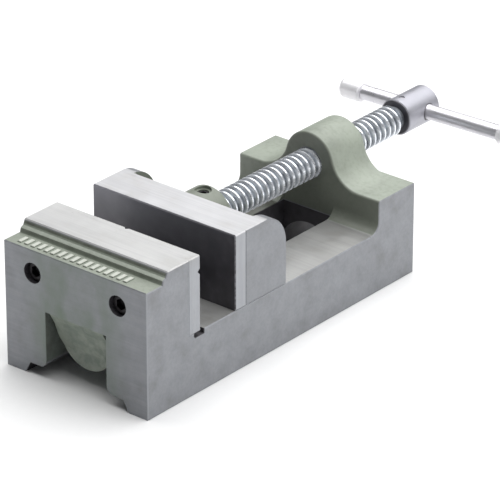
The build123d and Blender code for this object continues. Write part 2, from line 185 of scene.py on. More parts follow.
def from_front(millimetres):
    """Place along Y of a length measured from the body's front face."""
    return FRONT + millimetres * MM


def scaled(colour, factor):
    """A colour made darker or lighter, at most white."""
    return tuple(min(1.0, c * factor) for c in colour)


# ---------- finishes
class Finish:
    """A node material on object coordinates, built one layer at a time."""

    def __init__(self, name):
        self.material = bpy.data.materials.new(name)
        self.material.use_nodes = True
        self.tree = self.material.node_tree
        self.tree.nodes.clear()
        output = self.tree.nodes.new("ShaderNodeOutputMaterial")
        self.shader = self.tree.nodes.new("ShaderNodeBsdfPrincipled")
        self.tree.links.new(self.shader.outputs["BSDF"], output.inputs["Surface"])
        self.coordinates = self.tree.nodes.new("ShaderNodeTexCoord").outputs["Object"]
        split = self.tree.nodes.new("ShaderNodeSeparateXYZ")
        self.tree.links.new(self.coordinates, split.inputs[0])
        self.x, self.y, self.z = split.outputs

    def plug(self, value, socket):
        """Sets a plain value or links another node's output."""
        if isinstance(value, bpy.types.NodeSocket):
            self.tree.links.new(value, socket)
        else:
            socket.default_value = value

    def set(self, **values):
        """Sets or links the shader's own sockets by name."""
        for name, value in values.items():
            self.plug(value, self.shader.inputs[name.replace("_", " ").title()])

    def math(self, operation, a, b=0.0):
        node = self.tree.nodes.new("ShaderNodeMath")
        node.operation = operation
        self.plug(a, node.inputs[0])
        self.plug(b, node.inputs[1])
        return node.outputs[0]

    def rising(self, value, edge, blend=CRISP):
        """0 below an edge and 1 above it, with a short blend."""
        node = self.tree.nodes.new("ShaderNodeMapRange")
        node.interpolation_type = "SMOOTHSTEP"
        self.plug(value, node.inputs["Value"])
        node.inputs["From Min"].default_value = edge - blend / 2
        node.inputs["From Max"].default_value = edge + blend / 2
        return node.outputs["Result"]

    def flip(self, mask):
        return self.math("SUBTRACT", 1.0, mask)

    def below(self, value, edge, blend=CRISP):
        """1 below an edge and 0 above it."""
        return self.flip(self.rising(value, edge, blend))

    def within(self, value, low, high, blend=CRISP):
        """1 between two edges."""
        return self.math("MULTIPLY", self.rising(value, low, blend), self.below(value, high, blend))

    def depth(self, low, high, blend=CRISP):
        """1 between two distances in millimetres behind the body's front face."""
        return self.within(self.y, from_front(low), from_front(high), blend)

    def height(self, low, high, blend=CRISP):
        """1 between two heights in millimetres above the feet."""
        return self.within(self.z, low * MM, high * MM, blend)

    def share(self, mask, amount):
        """A mask at part of its strength."""
        return self.math("MULTIPLY", mask, amount)

    def both(self, *masks):
        result = masks[0]
        for mask in masks[1:]:
            result = self.math("MULTIPLY", result, mask)
        return result

    def either(self, *masks):
        result = masks[0]
        for mask in masks[1:]:
            result = self.math("MAXIMUM", result, mask)
        return result

    def noise(self, grain, stretch=(1, 1, 1), detail=3.0, roughness=0.55, distortion=0.0):
        """Noise whose blobs are about grain metres, longer where stretch is above 1."""
        place = self.tree.nodes.new("ShaderNodeMapping")
        place.inputs["Scale"].default_value = [1 / (grain * s) for s in stretch]
        self.tree.links.new(self.coordinates, place.inputs["Vector"])
        node = self.tree.nodes.new("ShaderNodeTexNoise")
        node.inputs["Scale"].default_value = 1.0
        node.inputs["Detail"].default_value = detail
        node.inputs["Roughness"].default_value = roughness
        node.inputs["Distortion"].default_value = distortion
        self.tree.links.new(place.outputs[0], node.inputs["Vector"])
        return node.outputs["Fac"]

    def ramp(self, value, *stops):
        """Colour ramp of (position, colour) stops."""
        node = self.tree.nodes.new("ShaderNodeValToRGB")
        elements = node.color_ramp.elements
        while len(elements) < len(stops):
            elements.new(0.5)
        for element, (position, colour) in zip(elements, stops):
            element.position = position
            element.color = (*colour, 1.0)
        self.plug(value, node.inputs["Fac"])
        return node.outputs["Color"]

    def spread(self, value, low, high, start=0.35, end=0.65):
        """Turns a value between start and end into one between low and high."""
        node = self.tree.nodes.new("ShaderNodeMapRange")
        self.plug(value, node.inputs["Value"])
        node.inputs["From Min"].default_value = start
        node.inputs["From Max"].default_value = end
        node.inputs["To Min"].default_value = low
        node.inputs["To Max"].default_value = high
        return node.outputs["Result"]

    def blend(self, mask, under, over, kind="MIX"):
        node = self.tree.nodes.new("ShaderNodeMix")
        node.data_type = "RGBA"
        node.blend_type = kind
        self.plug(mask, node.inputs[0])
        for colour, socket in ((under, node.inputs[6]), (over, node.inputs[7])):
            self.plug(colour if isinstance(colour, bpy.types.NodeSocket) else (*colour, 1.0), socket)
        return node.outputs[2]

    def choose(self, mask, under, over):
        """Number mix: under where the mask is 0 and over where it is 1."""
        node = self.tree.nodes.new("ShaderNodeMix")
        node.data_type = "FLOAT"
        self.plug(mask, node.inputs[0])
        self.plug(under, node.inputs[2])
        self.plug(over, node.inputs[3])
        return node.outputs[0]

    def bump(self, height, depth, strength=1.0, over=None):
        node = self.tree.nodes.new("ShaderNodeBump")
        node.inputs["Strength"].default_value = strength
        node.inputs["Distance"].default_value = depth
        self.plug(height, node.inputs["Height"])
        if over is not None:
            self.tree.links.new(over, node.inputs["Normal"])
        return node.outputs["Normal"]

    def distance(self, across, centre, height):
        """Distance from a level line: across is x for a line along Y and y for one along X."""
        aside = self.math("SUBTRACT", across, centre)
        above = self.math("SUBTRACT", self.z, height)
        square = self.math("ADD", self.math("MULTIPLY", aside, aside),
                           self.math("MULTIPLY", above, above))
        return self.math("SQRT", square)


def ground_metal(finish, tone, along, blotch=0.12):
    """Colour, roughness and height of a surface-ground face with its grinding lines."""
    stretch = {"x": (70, 1, 1), "y": (1, 70, 1), "z": (1, 1, 70)}[along]
    lines = finish.noise(0.00035, stretch, detail=4.0, roughness=0.7)
    broad = finish.noise(0.0016, tuple(s / 2 + 0.5 for s in stretch), detail=2.0)
    cloud = finish.noise(0.011, detail=5.0, roughness=0.6)
    dark = scaled(tone, 1 - blotch)
    light = scaled(tone, 1 + blotch)
    warm = (dark[0] * 1.01, dark[1], dark[2] * 0.98)
    colour = finish.ramp(cloud, (0.3, warm), (0.48, tone), (0.7, light))
    streak = finish.ramp(lines, (0.3, (0.82, 0.82, 0.82)), (0.62, (1.0, 1.0, 1.0)))
    colour = finish.blend(0.55, colour, streak, "MULTIPLY")
    wide = finish.ramp(broad, (0.35, (0.93, 0.93, 0.94)), (0.6, (1.0, 1.0, 1.0)))
    colour = finish.blend(1.0, colour, wide, "MULTIPLY")
    rough = finish.math("ADD", finish.spread(lines, -0.05, 0.06), finish.spread(cloud, 0.36, 0.46))
    return colour, rough, lines


def cast_paint(finish, tone):
    """Colour, roughness and height of sage-green paint over sand-cast iron, with painted shade in the low
    spots of the sand.
    """
    coarse = finish.noise(0.0022, detail=3.0, roughness=0.5)
    fine = finish.noise(0.0006, detail=2.0, roughness=0.6)
    drift = finish.noise(0.02, detail=4.0)
    colour = finish.ramp(
        drift, (0.3, scaled(tone, 0.8)), (0.5, tone), (0.72, scaled(tone, 1.12)))
    # Painted shade in the low spots of the sand texture, on the same noise as its bumps.
    hollow = finish.ramp(coarse, (0.3, (0.8, 0.81, 0.78)), (0.5, (1.0, 1.0, 1.0)))
    colour = finish.blend(0.45, colour, hollow, "MULTIPLY")
    height = finish.math("ADD", coarse, finish.math("MULTIPLY", fine, 0.35))
    rough = finish.spread(coarse, 0.52, 0.4)
    return colour, rough, height


def body_zones(finish):
    """Masks of the body's painted faces, its dark faces of painted shade, its painted edge highlights and
    its bright faces, told apart by their place.
    """
    across = finish.math("ABSOLUTE", finish.x)
    inside = finish.below(across, HALF_WIDTH - SIDE_SKIN * MM, SHARP)
    zones = SimpleNamespace()
    zones.ledge = finish.both(
        inside,
        finish.height(*LEDGE_HEIGHT, SOFT),
        finish.depth(*LEDGE_DEPTH, SOFT))
    nut_hole = finish.below(finish.distance(finish.x, 0.0, AXIS_HEIGHT), NUT_HOLE_RADIUS * MM)
    zones.block = finish.both(
        inside,
        finish.depth(*BLOCK_DEPTH, 0.0004),
        finish.rising(finish.z, BLOCK_LOW * MM, SOFT),
        finish.flip(nut_hole))
    zones.arch = finish.both(
        finish.below(across, ARCH_HALF * MM),
        finish.depth(*ARCH_DEPTH, 0.0006),
        finish.below(finish.z, ARCH_TOP * MM, 0.004))
    zones.painted = finish.either(zones.ledge, zones.block, zones.arch)
    zones.hollow = finish.both(
        finish.below(across, HOLLOW_HALF * MM),
        finish.depth(*HOLLOW_DEPTH),
        finish.below(finish.z, HOLLOW_TOP * MM))
    rear_arch = finish.both(
        finish.below(across, REAR_ARCH_HALF * MM),
        finish.depth(*REAR_ARCH_DEPTH),
        finish.below(finish.z, REAR_ARCH_TOP * MM))
    relief = finish.both(
        finish.below(across, HALF_WIDTH - RELIEF_SKIN * MM, SHARP),
        finish.depth(*RELIEF_DEPTH),
        finish.height(*RELIEF_HEIGHT))
    sinks = [finish.below(finish.distance(finish.x, x * MM, SINK_HEIGHT * MM), SINK_RADIUS * MM)
             for x in SINK_PLACES]
    sinks = finish.both(finish.either(*sinks), finish.depth(*SINK_DEPTH, SOFT))
    under = finish.both(
        inside,
        finish.depth(*UNDER_DEPTH, SOFT),
        finish.below(finish.z, UNDER_TOP * MM, 0.003))
    # Painted shade: dark iron in the hollow underside, the rear arch, the relief slot, the counterbores
    # and the undersides near the floor.
    zones.dark = finish.either(zones.hollow, rear_arch, relief, sinks, under)
    zones.arch_wall = finish.both(zones.arch, finish.rising(across, ARCH_WALL * MM, 0.0006))
    # Painted highlight along the vertical edges at the front and the back of the sides.
    front_edge, rear_edge = (from_front(depth) for depth in HIGHLIGHT_DEPTHS)
    zones.corners = finish.both(
        finish.rising(across, HALF_WIDTH - SIDE_SKIN * MM, SOFT),
        finish.either(finish.below(finish.y, front_edge, SOFT),
                      finish.rising(finish.y, rear_edge, SOFT)))
    zones.jaw_top = finish.rising(finish.z, JAW_TOP_EDGE * MM)
    zones.rails = finish.both(finish.height(*RAIL_TOPS), finish.depth(*RAIL_DEPTH), inside)
    zones.bright = finish.either(zones.jaw_top, zones.rails)
    return zones


def ground_body(finish, colours, zones):
    """Colour, roughness and bump of the body's ground faces."""
    iron, iron_rough, lines = ground_metal(finish, colours.iron, "x", 0.16)
    iron = finish.blend(front_residue(finish), iron, colours.residue)
    # Painted edge highlight in the paler plate tone.
    iron = finish.blend(finish.share(zones.corners, 0.7), iron, colours.plate_side)
    top, top_rough, top_lines = ground_metal(finish, colours.ground_top, "x", 0.05)
    colour = finish.blend(zones.jaw_top, iron, top)
    filmed = finish.blend(1.0, top, colours.rail_film, "MULTIPLY")
    colour = finish.blend(zones.rails, colour, filmed)
    # Painted shadow of the screw and the nut block on the left rail towards the block, broken up by
    # noise.
    rail_shadow = finish.both(
        zones.rails,
        finish.rising(finish.y, from_front(RAIL_SHADOW_START), 0.05),
        finish.below(finish.x, RAIL_SHADOW_SIDE * MM, 0.01),
        finish.spread(finish.noise(0.006, detail=4.0), 0.7, 1.0))
    colour = finish.blend(finish.share(rail_shadow, 0.9), colour, colours.shade_tone)
    rough = finish.choose(zones.bright, iron_rough, top_rough)
    bump = finish.bump(finish.choose(zones.bright, lines, top_lines), 0.00001, 0.35)
    return colour, rough, bump


def painted_body(finish, colours, zones):
    """Colour, roughness and height of the paint with its rubbed ribs and residue, and with painted shade
    on the ledge step, the arch walls and the nut block's front.
    """
    paint, rough, sand = cast_paint(finish, colours.paint)
    # Painted shade in the step behind the ledge.
    step_shade = finish.both(zones.ledge, ledge_step_shade(finish))
    paint = finish.blend(step_shade, paint, colours.shade_tone)
    proud = finish.both(
        zones.ledge,
        finish.height(*RIB_TOPS, SOFT),
        finish.below(finish.y, from_front(RIB_BACK)))
    paint = finish.blend(finish.share(proud, 0.62), paint, colours.bare)
    # Painted shade on the arch's side walls.
    arch_wall_shade = scaled(colours.shade_tone, 0.45)
    paint = finish.blend(finish.share(zones.arch_wall, 0.9), paint, arch_wall_shade)
    stain = finish.spread(finish.noise(0.005, detail=5.0), 0.1, 0.85, 0.4, 0.62)
    paint = finish.blend(finish.both(zones.arch, stain), paint, colours.residue)
    # Painted shade on the nut block's front face, fading out towards the left.
    left, right = (x * MM for x in BLOCK_SHADE_SIDE)
    block_front_shade = finish.both(
        zones.block,
        finish.below(finish.y, from_front(BLOCK_FRONT_EDGE), 0.0012),
        finish.spread(finish.x, 0.1, 1.0, left, right))
    paint = finish.blend(finish.share(block_front_shade, 0.62), paint, colours.shade_tone)
    return paint, rough, sand


def body_finish(colours):
    """Ground and painted faces of the body, with dark iron painted as shade into its hollows, slots,
    counterbores and undersides.
    """
    finish = Finish("body_iron")
    zones = body_zones(finish)
    ground, ground_rough, ground_bump = ground_body(finish, colours, zones)
    paint, paint_rough, sand = painted_body(finish, colours, zones)
    shade_dark, shade_rough = shade_iron(finish, colours.black)
    colour = finish.blend(zones.painted, ground, paint)
    # The dark zones take the painted shade.
    colour = finish.blend(zones.dark, colour, shade_dark)
    rough = finish.choose(zones.painted, ground_rough, paint_rough)
    rough = finish.choose(zones.dark, rough, shade_rough)
    bare = finish.flip(finish.either(zones.painted, zones.dark))
    cast = finish.both(sand, finish.either(zones.painted, zones.hollow))
    finish.set(
        base_color=colour,
        roughness=rough,
        metallic=finish.share(bare, 0.5),
        normal=finish.bump(cast, 0.00022, 0.55, over=ground_bump))
    return finish.material


def front_residue(finish):
    """Thin green residue and stains rubbed over the ground front face."""
    across = finish.math("ABSOLUTE", finish.x)
    face = finish.below(finish.y, from_front(FRONT_SKIN), SOFT)
    cloud = finish.noise(0.012, (1, 1, 1.6), detail=5.0, roughness=0.6)
    stain = finish.spread(cloud, 0.24, 0.8, 0.38, 0.68)
    wide = finish.below(across, STAIN_HALF * MM, 0.022)
    near = finish.below(across, RUN_HALF * MM, 0.014)
    low = finish.below(finish.z, RUN_TOP * MM, 0.016)
    run = finish.both(near, low, finish.spread(cloud, 0.45, 1.0, 0.38, 0.58))
    return finish.both(face, finish.either(finish.both(stain, wide), run))


def ledge_step_shade(finish):
    """Painted shade lines at the foot and the head of the step behind the ledge, and thinner painted
    shade on the flat, broken up by noise.
    """
    foot = finish.share(finish.height(*LEDGE_FOOT, 0.0012), 0.62)
    head = finish.share(finish.height(*LEDGE_HEAD, 0.0006), 0.9)
    film = finish.share(finish.below(finish.z, LEDGE_FLAT * MM), 0.28)
    patch = finish.spread(finish.noise(0.004, detail=4.0), 0.7, 1.0)
    return finish.both(finish.either(foot, head, film), patch)


def shade_iron(finish, tone):
    """Colour and roughness of the dark iron painted as shade into the body's hollows, slots, counterbores
    and undersides.
    """
    cloud = finish.noise(0.004, detail=5.0)
    colour = finish.ramp(cloud, (0.3, scaled(tone, 0.7)), (0.7, scaled(tone, 1.9)))
    return colour, finish.spread(cloud, 0.45, 0.7)


def jaw_finish(colours):
    """Moving jaw: ground top and sides; paint on the pocket, boss and foot, darkened by painted shade."""
    finish = Finish("jaw_iron")
    across = finish.math("ABSOLUTE", finish.x)
    pocket = finish.both(
        finish.below(across, HALF_WIDTH - WING_INSIDE * MM, SHARP),
        finish.rising(finish.y, JAW_LOW.y + WALL_DEPTH * MM),
        finish.rising(finish.z, JAW_LOW.z + FOOT_HEIGHT * MM))
    iron, iron_rough, lines = ground_metal(finish, colours.iron, "x")
    lid, lid_rough, lid_lines = ground_metal(finish, colours.jaw_top, "x", 0.05)
    top = finish.both(
        finish.rising(finish.z, JAW_HIGH.z - LID_SKIN * MM, SOFT),
        finish.flip(pocket))
    paint, paint_rough, sand = cast_paint(finish, colours.paint)
    # The pocket's paint is darkened by half as painted shade.
    paint = finish.blend(0.5, paint, colours.shade_tone)
    ground = finish.bump(finish.choose(top, lines, lid_lines), 0.00001, 0.35)
    finish.set(
        base_color=finish.blend(pocket, finish.blend(top, iron, lid), paint),
        roughness=finish.choose(pocket, finish.choose(top, iron_rough, lid_rough), paint_rough),
        metallic=finish.choose(pocket, 0.5, 0.0),
        normal=finish.bump(finish.both(sand, pocket), 0.00022, 0.55, over=ground))
    return finish.material


def bright_plate_finish(colours):
    """Ground steel plate: bright top, greyer ends and face, a few handling scratches."""
    finish = Finish("ground_steel_plate")
    top, rough, lines = ground_metal(finish, colours.ground_top, "x", 0.05)
    side, side_rough, side_lines = ground_metal(finish, colours.plate_side, "z", 0.06)
    upper = finish.rising(finish.z, FIXED_PLATE_TOP - PLATE_TOP_SKIN * MM, SOFT)
    scratch = finish.noise(0.00025, (9, 2, 22), detail=1.0, distortion=0.6)
    marks = finish.ramp(scratch, (0.28, (0.6, 0.6, 0.6)), (0.34, (1.0, 1.0, 1.0)))
    colour = finish.blend(0.4, finish.blend(upper, side, top), marks, "MULTIPLY")
    finish.set(
        base_color=colour,
        roughness=finish.choose(upper, side_rough, rough),
        metallic=0.5,
        normal=finish.bump(finish.choose(upper, side_lines, lines), 0.00001, 0.4))
    return finish.material


def black_plate_finish(colours):
    """Black gripping face, worn at its edges, with a painted reflection that greys it towards the top and
    the left; the top and the ends are ground bright.
    """
    finish = Finish("black_jaw_plate")
    top, rough, lines = ground_metal(finish, colours.jaw_top, "x", 0.05)
    side, side_rough, side_lines = ground_metal(finish, colours.plate_side, "z", 0.06)
    upper = finish.rising(finish.z, MOVING_HIGH.z - PLATE_TOP_SKIN * MM, SOFT)
    cloud = finish.noise(0.009, detail=5.0)
    film = finish.ramp(
        cloud,
        (0.32, scaled(colours.black, 0.85)),
        (0.55, scaled(colours.black, 1.4)),
        (0.75, scaled(colours.black, 2.4)))
    # Painted reflection: the black film greys towards the top and the left.
    upwards = finish.spread(finish.z, 0.12, 0.8, BLACK_FADE_START * MM, MOVING_HIGH.z)
    leftwards = finish.spread(finish.x, 1.0, 0.2, -HALF_WIDTH, HALF_WIDTH)
    film = finish.blend(finish.both(upwards, leftwards), film, colours.black_plate_reflection)
    face = finish.below(finish.y, MOVING_LOW.y + BLACK_FILM_DEPTH * MM, SHARP)
    across = finish.math("ABSOLUTE", finish.x)
    edge = finish.either(
        finish.rising(across, HALF_WIDTH - BLACK_SIDE_EDGE * MM, SOFT),
        finish.rising(finish.z, MOVING_HIGH.z - BLACK_TOP_EDGE * MM, SOFT))
    worn = finish.both(edge, finish.spread(finish.noise(0.0015), 0.0, 0.35, 0.4, 0.6))
    face = finish.both(face, finish.flip(worn))
    bright_rough = finish.choose(upper, side_rough, rough)
    finish.set(
        base_color=finish.blend(face, finish.blend(upper, side, top), film),
        roughness=finish.choose(face, bright_rough, finish.spread(cloud, 0.42, 0.3)),
        metallic=finish.choose(face, 0.5, 0.25),
        normal=finish.bump(finish.choose(upper, side_lines, lines), 0.00001, 0.4))
    return finish.material


def thread_finish(colours):
    """Bright zinc, with painted shade in the roots of the thread."""
    finish = Finish("zinc_thread")
    away = finish.distance(finish.x, 0.0, AXIS_HEIGHT)
    crest = finish.rising(away, CREST_START * MM, 0.0013)
    cloud = finish.noise(0.004, detail=4.0)
    lines = finish.noise(0.0003, (1, 40, 1), detail=3.0)
    bright = finish.ramp(cloud, (0.3, scaled(colours.zinc, 0.86)), (0.6, colours.zinc))
    # Painted shade in the roots of the thread.
    root_shade = finish.ramp(cloud, (0.3, (0.13, 0.14, 0.16)), (0.65, (0.42, 0.45, 0.49)))
    finish.set(
        base_color=finish.blend(crest, root_shade, bright),
        roughness=finish.choose(crest, 0.45, finish.spread(cloud, 0.2, 0.32)),
        metallic=0.75,
        normal=finish.bump(lines, 0.00001, 0.3))
    return finish.material


def turned_finish(name, tone, rough, along="y", marks=0.15, haze=0.045):
    """Bright turned metal: a roughness range, tool marks round its axis and a light haze."""
    finish = Finish(name)
    cloud = finish.noise(0.007, detail=4.0)
    round_axis = {"x": (1, 40, 40), "y": (40, 1, 40)}[along]
    rings = finish.noise(0.00025, round_axis, detail=3.0)
    smudge = finish.noise(0.0025, detail=4.0, roughness=0.65)
    colour = finish.ramp(cloud, (0.3, scaled(tone, 0.9)), (0.65, tone))
    hazy = finish.math("ADD", finish.spread(cloud, *rough), finish.spread(smudge, -haze, haze))
    finish.set(
        base_color=colour,
        metallic=0.7,
        roughness=hazy,
        normal=finish.bump(rings, 0.000005, marks))
    return finish


def hub_finish(colours):
    """Satin chrome, with painted shadow where the screw enters and round the bar's cross hole."""
    finish = turned_finish("satin_chrome_hub", colours.satin, (0.38, 0.48))
    satin = finish.shader.inputs["Base Color"].links[0].from_socket
    # Painted shadow on the hub's front face and round the bar's cross hole.
    entry = finish.below(finish.y, HUB_FRONT + HUB_FACE_SKIN * MM, 0.0004)
    away = finish.distance(finish.y, BAR_MIDDLE, AXIS_HEIGHT)
    rim = finish.below(away, BAR_RADIUS + HUB_HOLE_RIM * MM, 0.0006)
    hub_shadow = finish.share(finish.either(entry, rim), 0.85)
    finish.set(base_color=finish.blend(hub_shadow, satin, colours.black))
    return finish.material


def oxide_finish(colours):
    """Black oxide on hardened screws, a little browner where it is thin."""
    finish = Finish("black_oxide")
    cloud = finish.noise(0.0012, detail=4.0)
    red, green, blue = colours.black
    brownish = (red, green * 0.95, blue * 0.9)
    finish.set(
        base_color=finish.ramp(cloud, (0.35, scaled(colours.black, 0.4)), (0.7, brownish)),
        metallic=0.6,
        roughness=finish.spread(cloud, 0.34, 0.5),
        normal=finish.bump(finish.noise(0.0004), 0.00002, 0.4))
    return finish.material


def plain_steel_finish():
    """Rolled steel of the parts under the jaw: mill lines and faint brown film."""
    finish = Finish("rolled_steel")
    lines = finish.noise(0.0005, (1, 30, 1), detail=4.0)
    cloud = finish.noise(0.008, detail=5.0)
    brown, grey, pale = (0.2, 0.18, 0.16), (0.32, 0.32, 0.33), (0.4, 0.4, 0.41)
    finish.set(
        base_color=finish.ramp(cloud, (0.3, brown), (0.55, grey), (0.8, pale)),
        metallic=0.8,
        roughness=finish.spread(cloud, 0.5, 0.36),
        normal=finish.bump(lines, 0.00002, 0.4))
    return finish.material


def floor_finish(colour):
    """Pale matt studio floor with a very faint paper tooth."""
    finish = Finish("studio_floor")
    tooth = finish.noise(0.004, detail=4.0)
    finish.set(
        base_color=finish.ramp(tooth, (0.3, scaled(colour, 0.985)), (0.7, colour)),
        roughness=0.75,
        normal=finish.bump(tooth, 0.0001, 0.05))
    return finish.material


def wear(node, material):
    """Gives a carried-over piece its finish."""
    piece = frame["nodes"][node]
    if not piece.material_slots:
        piece.data.materials.append(material)
    for slot in piece.material_slots:
        slot.material = material


# ---------- modelling
def clear_selection():
    if bpy.context.object and bpy.context.object.mode != "OBJECT":
        bpy.ops.object.mode_set(mode="OBJECT")
    bpy.ops.object.select_all(action="DESELECT")


def pick(piece):
    """Makes a piece the only selected and active one."""
    clear_selection()
    piece.select_set(True)
    bpy.context.view_layer.objects.active = piece


def settle(piece):
    """Puts the piece's place, turn and size into its mesh."""
    pick(piece)
    bpy.ops.object.transform_apply(location=True, rotation=True, scale=True)


def tidy_mesh(piece, angle=30, merge=0.000001):
    """Merges doubles, turns faces outwards and smooths below an angle."""
    pick(piece)
    bpy.ops.object.mode_set(mode="EDIT")
    bpy.ops.mesh.select_all(action="SELECT")
    bpy.ops.mesh.remove_doubles(threshold=merge)
    bpy.ops.mesh.normals_make_consistent(inside=False)
    bpy.ops.object.mode_set(mode="OBJECT")
    bpy.ops.object.shade_smooth_by_angle(angle=math.radians(angle))


def choose_parts(piece, kind, test):
    """In edit mode, selects the vertices or the faces whose centre passes a test."""
    bpy.ops.mesh.select_mode(type=kind)
    bpy.ops.mesh.select_all(action="DESELECT")
    bpy.ops.object.mode_set(mode="OBJECT")
    mesh = piece.data
    if kind == "FACE":
        for face in mesh.polygons:
            face.select = test(face.center)
    else:
        for vertex in mesh.vertices:
            vertex.select = test(vertex.co)
    bpy.ops.object.mode_set(mode="EDIT")


def add_modifier(piece, kind, **settings):
    """Adds a modifier and applies it."""
    pick(piece)
    modifier = piece.modifiers.new(kind.title(), kind)
    for name, value in settings.items():
        setattr(modifier, name, value)
    bpy.ops.object.modifier_apply(modifier=modifier.name)


def finish_piece(piece, name, material, body, slot, *nodes):
    """Names a piece, gives it its finish and its place in the vise."""
    piece.name = name
    piece.data.name = name
    piece.data.materials.clear()
    piece.data.materials.append(material)
    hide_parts(*nodes)
    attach(piece, body)
    return piece


def open_profile(name, points):
    """A chain of edges through (radius, along) points, drawn in the XZ plane."""
    clear_selection()
    bpy.ops.mesh.primitive_plane_add(size=MM)
    piece = bpy.context.object
    piece.name = name
    bpy.ops.object.mode_set(mode="EDIT")
    bpy.ops.mesh.select_mode(type="VERT")
    bpy.ops.mesh.select_all(action="SELECT")
    bpy.ops.mesh.merge(type="CENTER")
    previous = Vector((0, 0, 0))
    for index, (radius, along) in enumerate(points):
        here = Vector((radius, 0, along))
        if index:
            bpy.ops.mesh.extrude_region_move(TRANSFORM_OT_translate={"value": here - previous})
        else:
            bpy.ops.transform.translate(value=here)
        previous = here
    bpy.ops.object.mode_set(mode="OBJECT")
    return piece


def turn_profile(name, points, steps):
    """Spins (radius, along) points round the Z axis into a closed turned piece."""
    piece = open_profile(name, points)
    bpy.ops.object.mode_set(mode="EDIT")
    bpy.ops.mesh.select_all(action="SELECT")
    bpy.ops.mesh.spin(steps=steps, angle=2 * math.pi, center=(0, 0, 0), axis=(0, 0, 1))
    bpy.ops.mesh.select_all(action="SELECT")
    bpy.ops.mesh.remove_doubles(threshold=0.000002)
    bpy.ops.mesh.normals_make_consistent(inside=False)
    bpy.ops.object.mode_set(mode="OBJECT")
    return piece


def settle_along_y(piece, start=0.0):
    """Lays a piece built up the Z axis along the screw's axis, from a place along Y."""
    pick(piece)
    turn = Matrix.Rotation(math.radians(-90), 4, "X")
    piece.matrix_world = Matrix.Translation((0, start, AXIS_HEIGHT)) @ turn
    settle(piece)


def turned_along_y(name, points, steps):
    """A turned piece on the screw's axis from (radius, place along Y) points."""
    piece = turn_profile(name, points, steps)
    settle_along_y(piece)
    return piece


def close_between(piece, low, high):
    """Cuts a tube along Y off square at both ends and caps it."""
    pick(piece)
    bpy.ops.object.mode_set(mode="EDIT")
    bpy.ops.mesh.select_all(action="SELECT")
    bpy.ops.mesh.remove_doubles(threshold=0.000002)
    for place, side in ((low, -1), (high, 1)):
        bpy.ops.mesh.select_all(action="SELECT")
        bpy.ops.mesh.bisect(
            plane_co=(0, place, 0), plane_no=(0, side, 0), use_fill=True, clear_outer=True)
    bpy.ops.mesh.select_all(action="SELECT")
    bpy.ops.mesh.normals_make_consistent(inside=False)
    bpy.ops.object.mode_set(mode="OBJECT")


def combine(piece, tool, operation):
    """Joins, trims or cuts a piece with a tool shape, which is then removed."""
    add_modifier(piece, "BOOLEAN", object=tool, operation=operation, solver="EXACT")
    bpy.data.objects.remove(tool, do_unlink=True)


def split_faces(piece):
    """Splits the many-sided faces a boolean leaves into triangles."""
    pick(piece)
    bpy.ops.object.mode_set(mode="EDIT")
    bpy.ops.mesh.select_all(action="SELECT")
    bpy.ops.mesh.quads_convert_to_tris(quad_method="BEAUTY", ngon_method="BEAUTY")
    bpy.ops.object.mode_set(mode="OBJECT")


def copy_piece(piece, name):
    """A copy with its own mesh."""
    twin = piece.copy()
    twin.data = piece.data.copy()
    twin.name = name
    bpy.context.collection.objects.link(twin)
    return twin


# ---------- settings
def colour_setting(name, description, default):
    return bpy.props.FloatVectorProperty(
        name=name, description=description, default=default, size=3,
        subtype="COLOR", min=0.0, max=1.0)


def length_setting(name, description, default):
    return bpy.props.FloatProperty(
        name=name, description=description, default=default * MM, precision=5,
        subtype="DISTANCE", unit="LENGTH", min=0.0)


def power_setting(name, description, default):
    return bpy.props.FloatProperty(name=name, description=description, default=default, min=0.0)


class ViseFinishes(bpy.types.PropertyGroup):
    """Colours of the vise's finishes."""

    iron: colour_setting("Iron", "Ground grey iron of the front and sides", (0.245, 0.253, 0.268))
    ground_top: colour_setting("Ground tops", "Bright ground steel and rail tops", (0.50, 0.50, 0.495))
    jaw_top: colour_setting("Jaw top", "Ground top of the moving jaw", (0.54, 0.54, 0.55))
    paint: colour_setting("Casting paint", "Sage green paint on rough cast faces", (0.262, 0.290, 0.242))
    residue: colour_setting("Residue", "Green residue on the front face", (0.145, 0.176, 0.146))
    rail_film: colour_setting("Rail film", "Oily film that darkens the rail tops", (0.68, 0.68, 0.67))
    plate_side: colour_setting("Plate ends", "Ground ends and faces of the plates", (0.345, 0.355, 0.375))
    # Dark tone used only for painted shade and painted shadow on the paint and the rails.
    shade_tone: colour_setting("Grime", "Oil and dirt on the paint", (0.075, 0.08, 0.062))
    # Grey of the painted reflection on the black plate.
    black_plate_reflection: colour_setting("Rubbed black", "Greyer film on the rubbed black plate", (0.27, 0.27, 0.30))
    bare: colour_setting("Bare casting", "Paler rub on the proudest cast ribs", (0.60, 0.62, 0.56))
    black: colour_setting("Black film", "Blackened jaw plate and screws", (0.030, 0.028, 0.032))
    zinc: colour_setting("Zinc", "Bright plating on the lead screw", (0.86, 0.89, 0.94))
    chrome: colour_setting("Chrome", "Polished bar and pin", (0.68, 0.67, 0.705))
    knob: colour_setting("Knobs", "Paler plating of the bar's end knobs", (0.90, 0.89, 0.91))
    satin: colour_setting("Satin chrome", "Duller chrome of the hub", (0.40, 0.40, 0.44))


class ViseScrewSizes(bpy.types.PropertyGroup):
    """Sizes of the lead screw and of the socket-head screws."""

    pitch: length_setting("Pitch", "Distance from one thread to the next", 4.0)
    crest_flat: length_setting("Crest flat", "Flat on top of each thread", 1.0)
    flank: length_setting("Flank", "Length along the screw of one sloping flank", 1.05)
    root_radius: length_setting("Root radius", "Radius at the bottom of the thread", 6.2)
    head_radius: length_setting("Head radius", "Radius of a socket-head screw's head", 4.9)
    head_height: length_setting("Head height", "Height of that head", 6.0)
    shank_radius: length_setting("Shank radius", "Radius of its shank", 3.0)
    socket_flats: length_setting("Socket", "Width of the hexagon socket across its flats", 5.0)
    socket_depth: length_setting("Socket depth", "Depth of the hexagon socket", 3.0)


